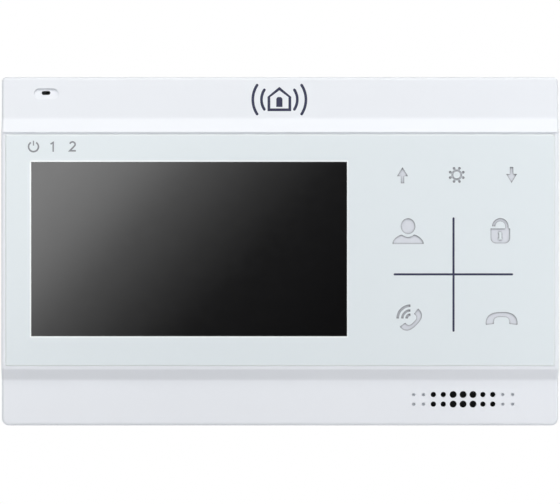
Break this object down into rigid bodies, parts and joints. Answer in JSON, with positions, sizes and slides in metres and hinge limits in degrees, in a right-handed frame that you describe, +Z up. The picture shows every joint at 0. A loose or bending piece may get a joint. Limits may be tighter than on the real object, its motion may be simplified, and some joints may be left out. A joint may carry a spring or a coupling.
{
  "type": "video intercom monitor",
  "caption": "Flat indoor video intercom monitor with a glass front, a screen, backlit touch keys, a speaker grille and a microphone, hung on a hooked steel wall plate.",
  "frame": {"origin": "centre of the wall plate's back face, on the wall", "axes": "+X to the right as the viewer faces the front, +Y into the wall, +Z up"},
  "size_m": [0.174, 0.023, 0.109],
  "materials": {
    "housing": "white ABS, moulded, semi-gloss with a faint lavender cast",
    "front_glass": "tempered glass, back-printed white with a clear window over the screen",
    "tape": "black foam adhesive tape",
    "light_guide": "milky acrylic",
    "display_cell": "black glossy display cell, switched off",
    "sheet_steel": "zinc-plated pressed steel sheet",
    "tray_steel": "thin plain steel sheet",
    "circuit_board": "green solder mask on glass-fibre board",
    "led": "LED lens",
    "ribbon": "polyimide flat cable",
    "chip": "moulded black epoxy",
    "capacitor_can": "drawn aluminium can",
    "connector": "natural nylon",
    "black_plastic": "black moulded plastic",
    "speaker_cone": "black treated paper cone",
    "rubber": "soft black rubber",
    "wire": "PVC insulated lead",
    "label": "blank white sticker",
    "screw": "zinc-plated steel"
  },
  "bodies": {
    "wall_plate": {"wall_plate": "sheet_steel"},
    "monitor": {"rear_cover": "housing", "front_bezel": "housing", "front_glass": "front_glass", "glass_tape": "tape", "key_diffuser": "light_guide", "status_light_guide": "light_guide", "lcd_panel": "display_cell", "lcd_backlight": "light_guide", "lcd_frame": "tray_steel", "lcd_bracket": "tray_steel", "lcd_flex": "ribbon", "touch_board": "circuit_board", "status_board": "circuit_board", "key_led_up": "led", "key_led_menu": "led", "key_led_down": "led", "key_led_call": "led", "key_led_unlock": "led", "key_led_talk": "led", "key_led_hang_up": "led", "status_led_power": "led", "status_led_door_1": "led", "status_led_door_2": "led", "touch_cable": "ribbon", "main_board": "circuit_board", "processor": "chip", "memory_chip": "chip", "audio_amplifier": "chip", "crystal": "tray_steel", "capacitor_1": "capacitor_can", "capacitor_2": "capacitor_can", "inductor": "chip", "shield_can": "tray_steel", "door_terminal_1": "connector", "door_terminal_2": "connector", "monitor_terminal": "connector", "power_terminal": "connector", "power_switch_body": "black_plastic", "speaker_gasket": "rubber", "speaker_frame": "black_plastic", "speaker_magnet": "tray_steel", "speaker_cone": "speaker_cone", "microphone_boot": "rubber", "microphone_capsule": "capacitor_can", "speaker_lead": "wire", "microphone_lead": "wire", "rating_label": "label", "cover_screw_1": "screw", "cover_screw_2": "screw", "cover_screw_3": "screw", "cover_screw_4": "screw", "board_screw_1": "screw", "board_screw_2": "screw", "board_screw_3": "screw", "board_screw_4": "screw", "bracket_screw_1": "screw", "bracket_screw_2": "screw"},
    "power_slider": {"power_slider": "black_plastic"}
  },
  "joints": [
    {"name": "hang_slide", "type": "slide", "parent": "wall_plate", "child": "monitor", "axis": [0, 0, 1], "range_m": [0, 0.0045]},
    {"name": "power_switch_slide", "type": "slide", "parent": "monitor", "child": "power_slider", "axis": [0, 0, 1], "range_m": [0, 0.0025]}
  ]
}
